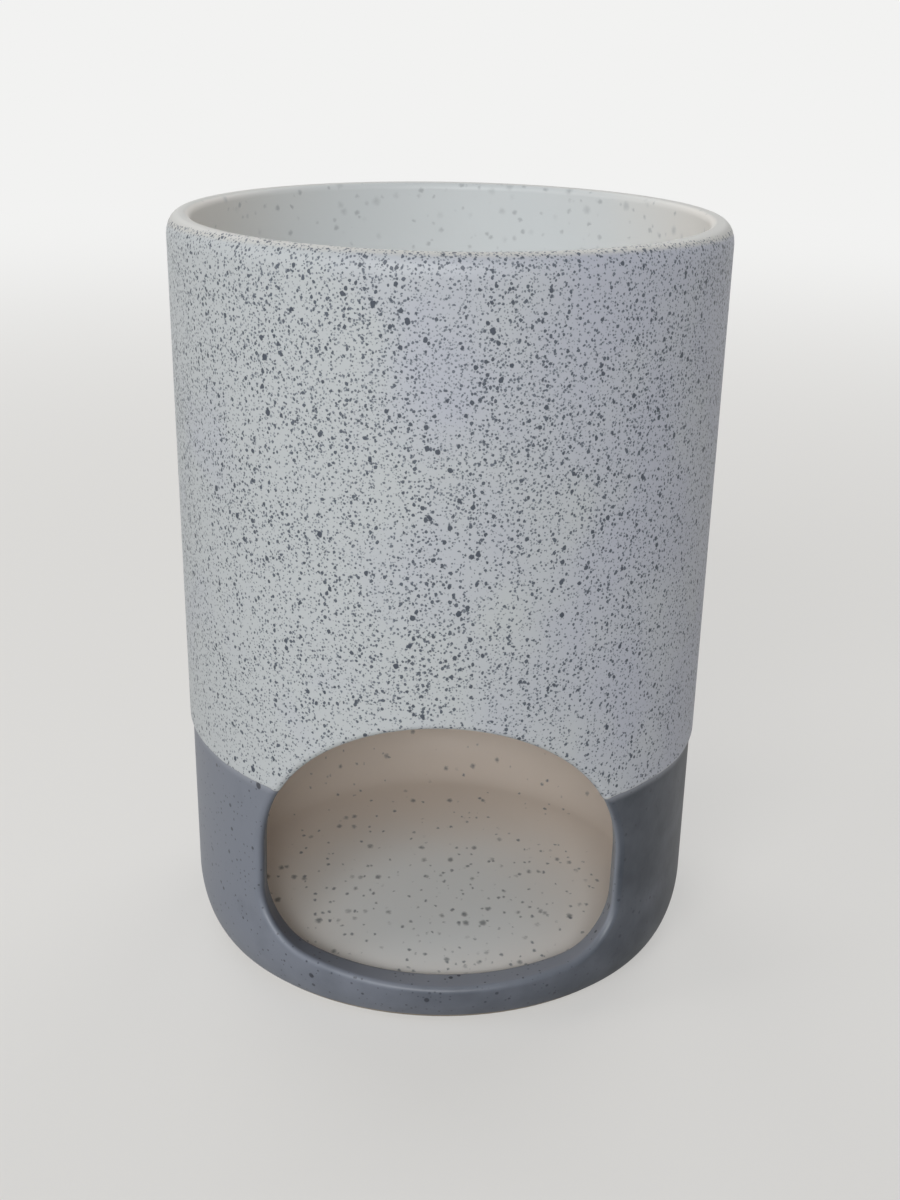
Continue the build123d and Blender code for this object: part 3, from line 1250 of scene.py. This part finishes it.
@dataclass(kw_only=True)
class ChamberLining(Coat):
    """The coat inside the chamber: wall up to the window's round, floor, and the dish's underside."""

    window: WindowCut
    name: str = "chamber_lining"
    node: str = "chamber_glaze"
    slot: str = "liner_glaze"
    material: str = "poured_chamber_glaze"
    finish: Finish = LiningGlaze(
        # Painted warm bounce light: the walls and the floor's back turn warm round a cool middle, where
        # light falls in through the window
        pooled="#e6eaeb",
        warm_bounce_tint="#eae0d6",
        middle=(0.0, -14.0, 5.5),
        cool_radius=10.0,
        warm_radius=42.0,
        specks=(
            Specks(1.25, 0.12, 0.29, 1.00, "#788086", strength=0.85, blur=0.15, shift=7.1, reach=1.5),
            Specks(2.30, 0.26, 0.46, 0.90, "#697075", strength=0.75, blur=0.26, shift=31.9, reach=1.5),
        ),
    )
    rows: int = 90
    disc_rows: int = 60
    seam_steps: int = 70
    edge_steps: int = 190
    ray_height: float = 25.0
    pool_round: float = 8.0
    pool_start: float = -0.3
    least_reach: float = 1.0

    def shape(self) -> Piece:
        """Makes the wall along rays from the window's middle, and closes it with two turned discs.

        Returns:
            The new piece.
        """
        profile = self.form.chamber_wall()
        height = profile.height[-1] - profile.height[0]
        level = (self.ray_height - profile.height[0]) / height
        top = profile.length[-1]
        edges = (lambda angle: 0.0 * angle, lambda angle: top + 0.0 * angle)
        band = Band(profile, *edges, level, profile.radius[-1], height)
        half = math.pi
        corners = [(0.0, 0.0), (half, 0.0), (half, 1.0), (-half, 1.0), (-half, 0.0), (0.0, 0.0)]
        edge, seam = self.edge_steps, self.seam_steps
        walk = Walk.along(corners, [edge // 2, seam, edge, seam, edge // 2], [1.0] * 5)
        shares = band.window_shares(self.window, self.window.inner_round, walk)
        touch = self.window.rolled(profile, shares, self.window.inner_round)
        out_shares = np.linspace(1.0, 0.0, self.rows + 1) ** RAY_CROWDING
        wall = band.rows_to_window(touch, walk, out_shares, lambda angle, length: 0.0 * angle)
        floor = self.disc(np.sort(walk.angle[walk.level == 0.0]), profile.radius[0], False)
        ceiling = self.disc(np.sort(walk.angle[walk.level == 1.0]), profile.radius[-1], True)
        grids = [self.pooled(wall), self.pooled(floor), ceiling]
        return welded(self.name, grids, [INWARD, UPWARD, DOWNWARD])

    def pooled(self, points: FloatArray) -> FloatArray:
        """Rounds the corner of floor and wall with the glaze that pooled in it, more towards the back.

        The pool's round touches floor and wall. A point past it moves straight towards the round's middle.

        Args:
            points: Grid of points, in millimetres.

        Returns:
            The grid with its corner filled.
        """
        radius = np.hypot(points[..., 0], points[..., 1])
        ahead = points[..., 1] / np.maximum(radius, self.least_reach)
        share = smooth_step((ahead - self.pool_start) / (1.0 - self.pool_start))
        ball = self.form.floor_cove_radius + (self.pool_round - self.form.floor_cove_radius) * share
        out = radius - (self.form.chamber_radius - ball)
        down = self.form.floor_height + ball - points[..., 2]
        away = np.maximum(np.hypot(out, down), TINY)
        pull = np.where((out > 0.0) & (down > 0.0) & (away > ball), ball / away, 1.0)
        reach = self.form.chamber_radius - ball + out * pull
        turned = points[..., :2] * (reach / np.maximum(radius, TINY))[..., None]
        height = self.form.floor_height + ball - down * pull
        return np.concatenate([turned, height[..., None]], axis=-1)

    def disc(self, angle: FloatArray, radius: float, domed: bool) -> FloatArray:
        """A turned disc: flat at the floor's height, or the dish's underside, domed as a sphere.

        Args:
            angle: Angles of its edge points.
            radius: Radius of its edge.
            domed: Whether it is the dish's underside.

        Returns:
            Grid of points from the edge to the middle, in millimetres.
        """
        reach = np.linspace(radius, 0.0, self.disc_rows)[:, None] + 0.0 * angle
        height = self.form.floor_height + 0.0 * reach
        if domed:
            height = self.form.ceiling_height + self.form.ceiling_rise(reach)
        return np.stack([reach * np.sin(angle), -reach * np.cos(angle), height], axis=-1)


@dataclass(kw_only=True)
class DishLining(Coat):
    """The coat over the rim and inside the dish."""

    name: str = "dish_lining"
    node: str = "dish_glaze"
    slot: str = "liner_glaze"
    material: str = "poured_dish_glaze"
    finish: Finish = RimAndDishGlaze(
        lining=LiningGlaze(
            # Painted warm bounce light: the dish's sides turn warm round a cool middle
            pooled="#ccd1d3",
            warm_bounce_tint="#e3dfd9",
            middle=(0.0, 24.0, 98.0),
            cool_radius=22.0,
            warm_radius=50.0,
            fewer=0.8,
            specks=(
                Specks(1.7, 0.16, 0.40, 0.80, "#8f9499", strength=0.55, blur=0.24, shift=13.7),
                Specks(2.9, 0.34, 0.64, 0.85, "#9ca1a5", strength=0.45, blur=0.45, shift=27.1),
            ),
        )
    )
    steps: int = 240

    def shape(self) -> Piece:
        """Turns the line of rim and dish about the axis.

        Returns:
            The new piece.
        """
        profile = self.form.dish()
        length = profile.length[:, None]
        angle = np.linspace(-math.pi, math.pi, self.steps + 1)
        piece = welded(self.name, [profile.place(angle + 0.0 * length, length + 0.0 * angle)], [UPWARD])
        store_places(piece, self.form)
        return piece


@dataclass(frozen=True)
class SoftLamp:
    """A round soft lamp that faces the pot: bearing from the front and elevation in degrees, metres."""

    name: str
    bearing: float
    elevation: float
    distance: float
    width: float
    power: float
    aim: tuple[float, float, float] = (0.0, 0.0, 0.05)

    def build(self) -> None:
        """Builds the lamp, its place a distance from its aim along its bearing and elevation."""
        bearing = math.radians(self.bearing)
        level = math.radians(self.elevation)
        away = Vector(
            (math.sin(bearing) * math.cos(level), -math.cos(bearing) * math.cos(level), math.sin(level))
        )
        lamp = bpy.data.lights.new(self.name, "AREA")
        lamp.shape = "DISK"
        lamp.size = self.width
        lamp.energy = self.power
        holder = linked(self.name, lamp)
        turned = away.to_track_quat("Z", "Y").to_matrix().to_4x4()
        holder.matrix_world = Matrix.Translation(Vector(self.aim) + away * self.distance) @ turned


@dataclass(frozen=True)
class Studio:
    """Plain pale floor that passes into a pale backdrop, a weak even sky, and soft lamps all round."""

    floor_half_width: float = 60.0
    floor_colour: str = "#d9d6d1"
    floor_roughness: float = 0.9
    backdrop_colour: str = "#f2f2f1"
    backdrop_start: float = 0.12
    backdrop_end: float = 0.9
    near_share: float = 0.45
    sky_colour: str = "#ffffff"
    sky_light: float = 0.18
    lamps: tuple[SoftLamp, ...] = (
        SoftLamp("key_lamp", bearing=-22.0, elevation=28.0, distance=1.3, width=0.6, power=4.9),
        SoftLamp("side_lamp", bearing=-80.0, elevation=25.0, distance=1.3, width=0.6, power=2.8),
        SoftLamp("front_lamp", bearing=0.0, elevation=25.0, distance=1.4, width=0.4, power=5.8),
        SoftLamp("right_back_lamp", bearing=150.0, elevation=40.0, distance=1.3, width=0.8, power=3.4),
        SoftLamp("left_back_lamp", bearing=-150.0, elevation=40.0, distance=1.3, width=0.8, power=3.4),
    )

    def build(self) -> None:
        """Builds the floor, the sky and the lamps."""
        self.build_floor()
        self.build_sky()
        for lamp in self.lamps:
            lamp.build()

    def build_floor(self) -> None:
        """Builds the floor, which keeps the pot's shadow and looks like the backdrop further off."""
        half = self.floor_half_width
        mesh = bpy.data.meshes.new("studio_floor")
        corners = [(-half, -half, 0.0), (half, -half, 0.0), (half, half, 0.0), (-half, half, 0.0)]
        mesh.from_pydata(corners, [], [(0, 1, 2, 3)])
        floor = linked("studio_floor", mesh)
        material = bpy.data.materials.new("painted_studio_floor")
        tree = emptied(material)
        coat = {"Base Color": self.floor_colour, "Roughness": self.floor_roughness}
        paint = add_node(tree, "BsdfPrincipled", coat)
        backdrop = add_node(tree, "Emission", {"Color": self.backdrop_colour, "Strength": 1.0})
        place = add_node(tree, "TexCoord", {}, "Object")
        away = add_node(tree, "VectorMath", {0: place}, "Value", operation="LENGTH")
        camera_ray = add_node(tree, "LightPath", {}, "Is Camera Ray")
        near = add_node(tree, "Math", {0: camera_ray, 1: self.near_share}, operation="MULTIPLY")
        fading = {"From Min": self.backdrop_start, "From Max": self.backdrop_end, "To Min": near}
        far = add_node(tree, "MapRange", {"Value": away, **fading}, interpolation_type="SMOOTHERSTEP")
        share = add_node(tree, "Math", {0: far, 1: self.add_looks(tree)}, operation="MULTIPLY")
        mixed = add_node(tree, "MixShader", {0: share, 1: paint, 2: backdrop})
        add_node(tree, "OutputMaterial", {"Surface": mixed})
        mesh.materials.append(material)

    def build_sky(self) -> None:
        """Builds the sky: an even light, and the backdrop's colour where anything looks at it."""
        world = bpy.data.worlds.new("plain_sky")
        bpy.context.scene.world = world
        tree = emptied(world)
        light = add_node(tree, "Background", {"Color": self.sky_colour, "Strength": self.sky_light})
        seen = add_node(tree, "Background", {"Color": self.backdrop_colour, "Strength": 1.0})
        mixed = add_node(tree, "MixShader", {0: self.add_looks(tree), 1: light, 2: seen})
        add_node(tree, "OutputWorld", {"Surface": mixed})

    def add_looks(self, tree: Tree) -> Socket:
        """Adds nodes that give 1 for a ray from the camera, a reflection or glass, and 0 for light.

        Args:
            tree: The node tree to add to.

        Returns:
            That 1 or 0.
        """
        path = add_node(tree, "LightPath", {}).node.outputs
        seen = {0: path["Is Camera Ray"], 1: path["Is Glossy Ray"]}
        looks = add_node(tree, "Math", seen, operation="MAXIMUM")
        return add_node(tree, "Math", {0: looks, 1: path["Is Transmission Ray"]}, operation="MAXIMUM")


@dataclass(frozen=True)
class PhotoCamera:
    """Camera fitted to the photograph: place and lens in millimetres, turns in radians, clips in metres."""

    place: tuple[float, float, float] = (0.0, -231.74, 139.6)
    turn: float = 0.004
    down: float = 0.363
    roll: float = 0.019
    lens: float = 47.94
    sensor: float = 36.0
    nearest: float = 0.01
    farthest: float = 200.0

    def build(self) -> None:
        """Places the camera: it looks forward and down, then rolls about its own line of sight."""
        ahead = Vector(
            (
                math.sin(self.turn) * math.cos(self.down),
                math.cos(self.turn) * math.cos(self.down),
                -math.sin(self.down),
            )
        )
        level = Vector((math.cos(self.turn), -math.sin(self.turn), 0.0))
        upright = level.cross(ahead)
        across = level * math.cos(self.roll) + upright * math.sin(self.roll)
        above = upright * math.cos(self.roll) - level * math.sin(self.roll)
        lens = bpy.data.cameras.new("photo_camera")
        lens.lens = self.lens
        lens.sensor_width = self.sensor
        lens.clip_start = self.nearest
        lens.clip_end = self.farthest
        camera = linked("photo_camera", lens)
        turned = Matrix((across, above, -ahead)).transposed().to_4x4()
        camera.matrix_world = Matrix.Translation(Vector(self.place) * METRES_PER_MM) @ turned
        bpy.context.scene.camera = camera


def report(piece: Piece) -> None:
    """Logs a finished piece with its number of faces."""
    log.info("%s dressed, with %d faces", piece.name, len(piece.data.polygons))


def main() -> None:
    """Builds the coats, dresses the bare pottery, then sets the stage, the light and the camera."""
    logging.basicConfig(level=logging.INFO)
    form = PotForm()
    window = WindowCut()
    speckled = WallCoat(
        form=form,
        window=window,
        side=Side.ABOVE_LINE,
        name="speckled_coat",
        node="speckled_glaze",
        slot="speckled_glaze",
        material="satin_speckled_glaze",
        finish=SpeckledGlaze(),
    )
    slate = WallCoat(
        form=form,
        window=window,
        side=Side.BELOW_LINE,
        name="slate_coat",
        node="slate_glaze",
        slot="slate_glaze",
        material="satin_slate_glaze",
        finish=SlateGlaze(),
    )
    for coat in (speckled, slate, ChamberLining(form=form, window=window), DishLining(form=form)):
        report(coat.build())
    for node in ("body_shell", "oil_dish", "slip_joint"):
        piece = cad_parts[node]
        BareStoneware().dress(piece, "bare_stoneware_" + node)
        report(piece)
    Studio().build()
    PhotoCamera().build()
    bpy.context.scene.view_settings.view_transform = "Standard"


if __name__ == "__main__":
    main()
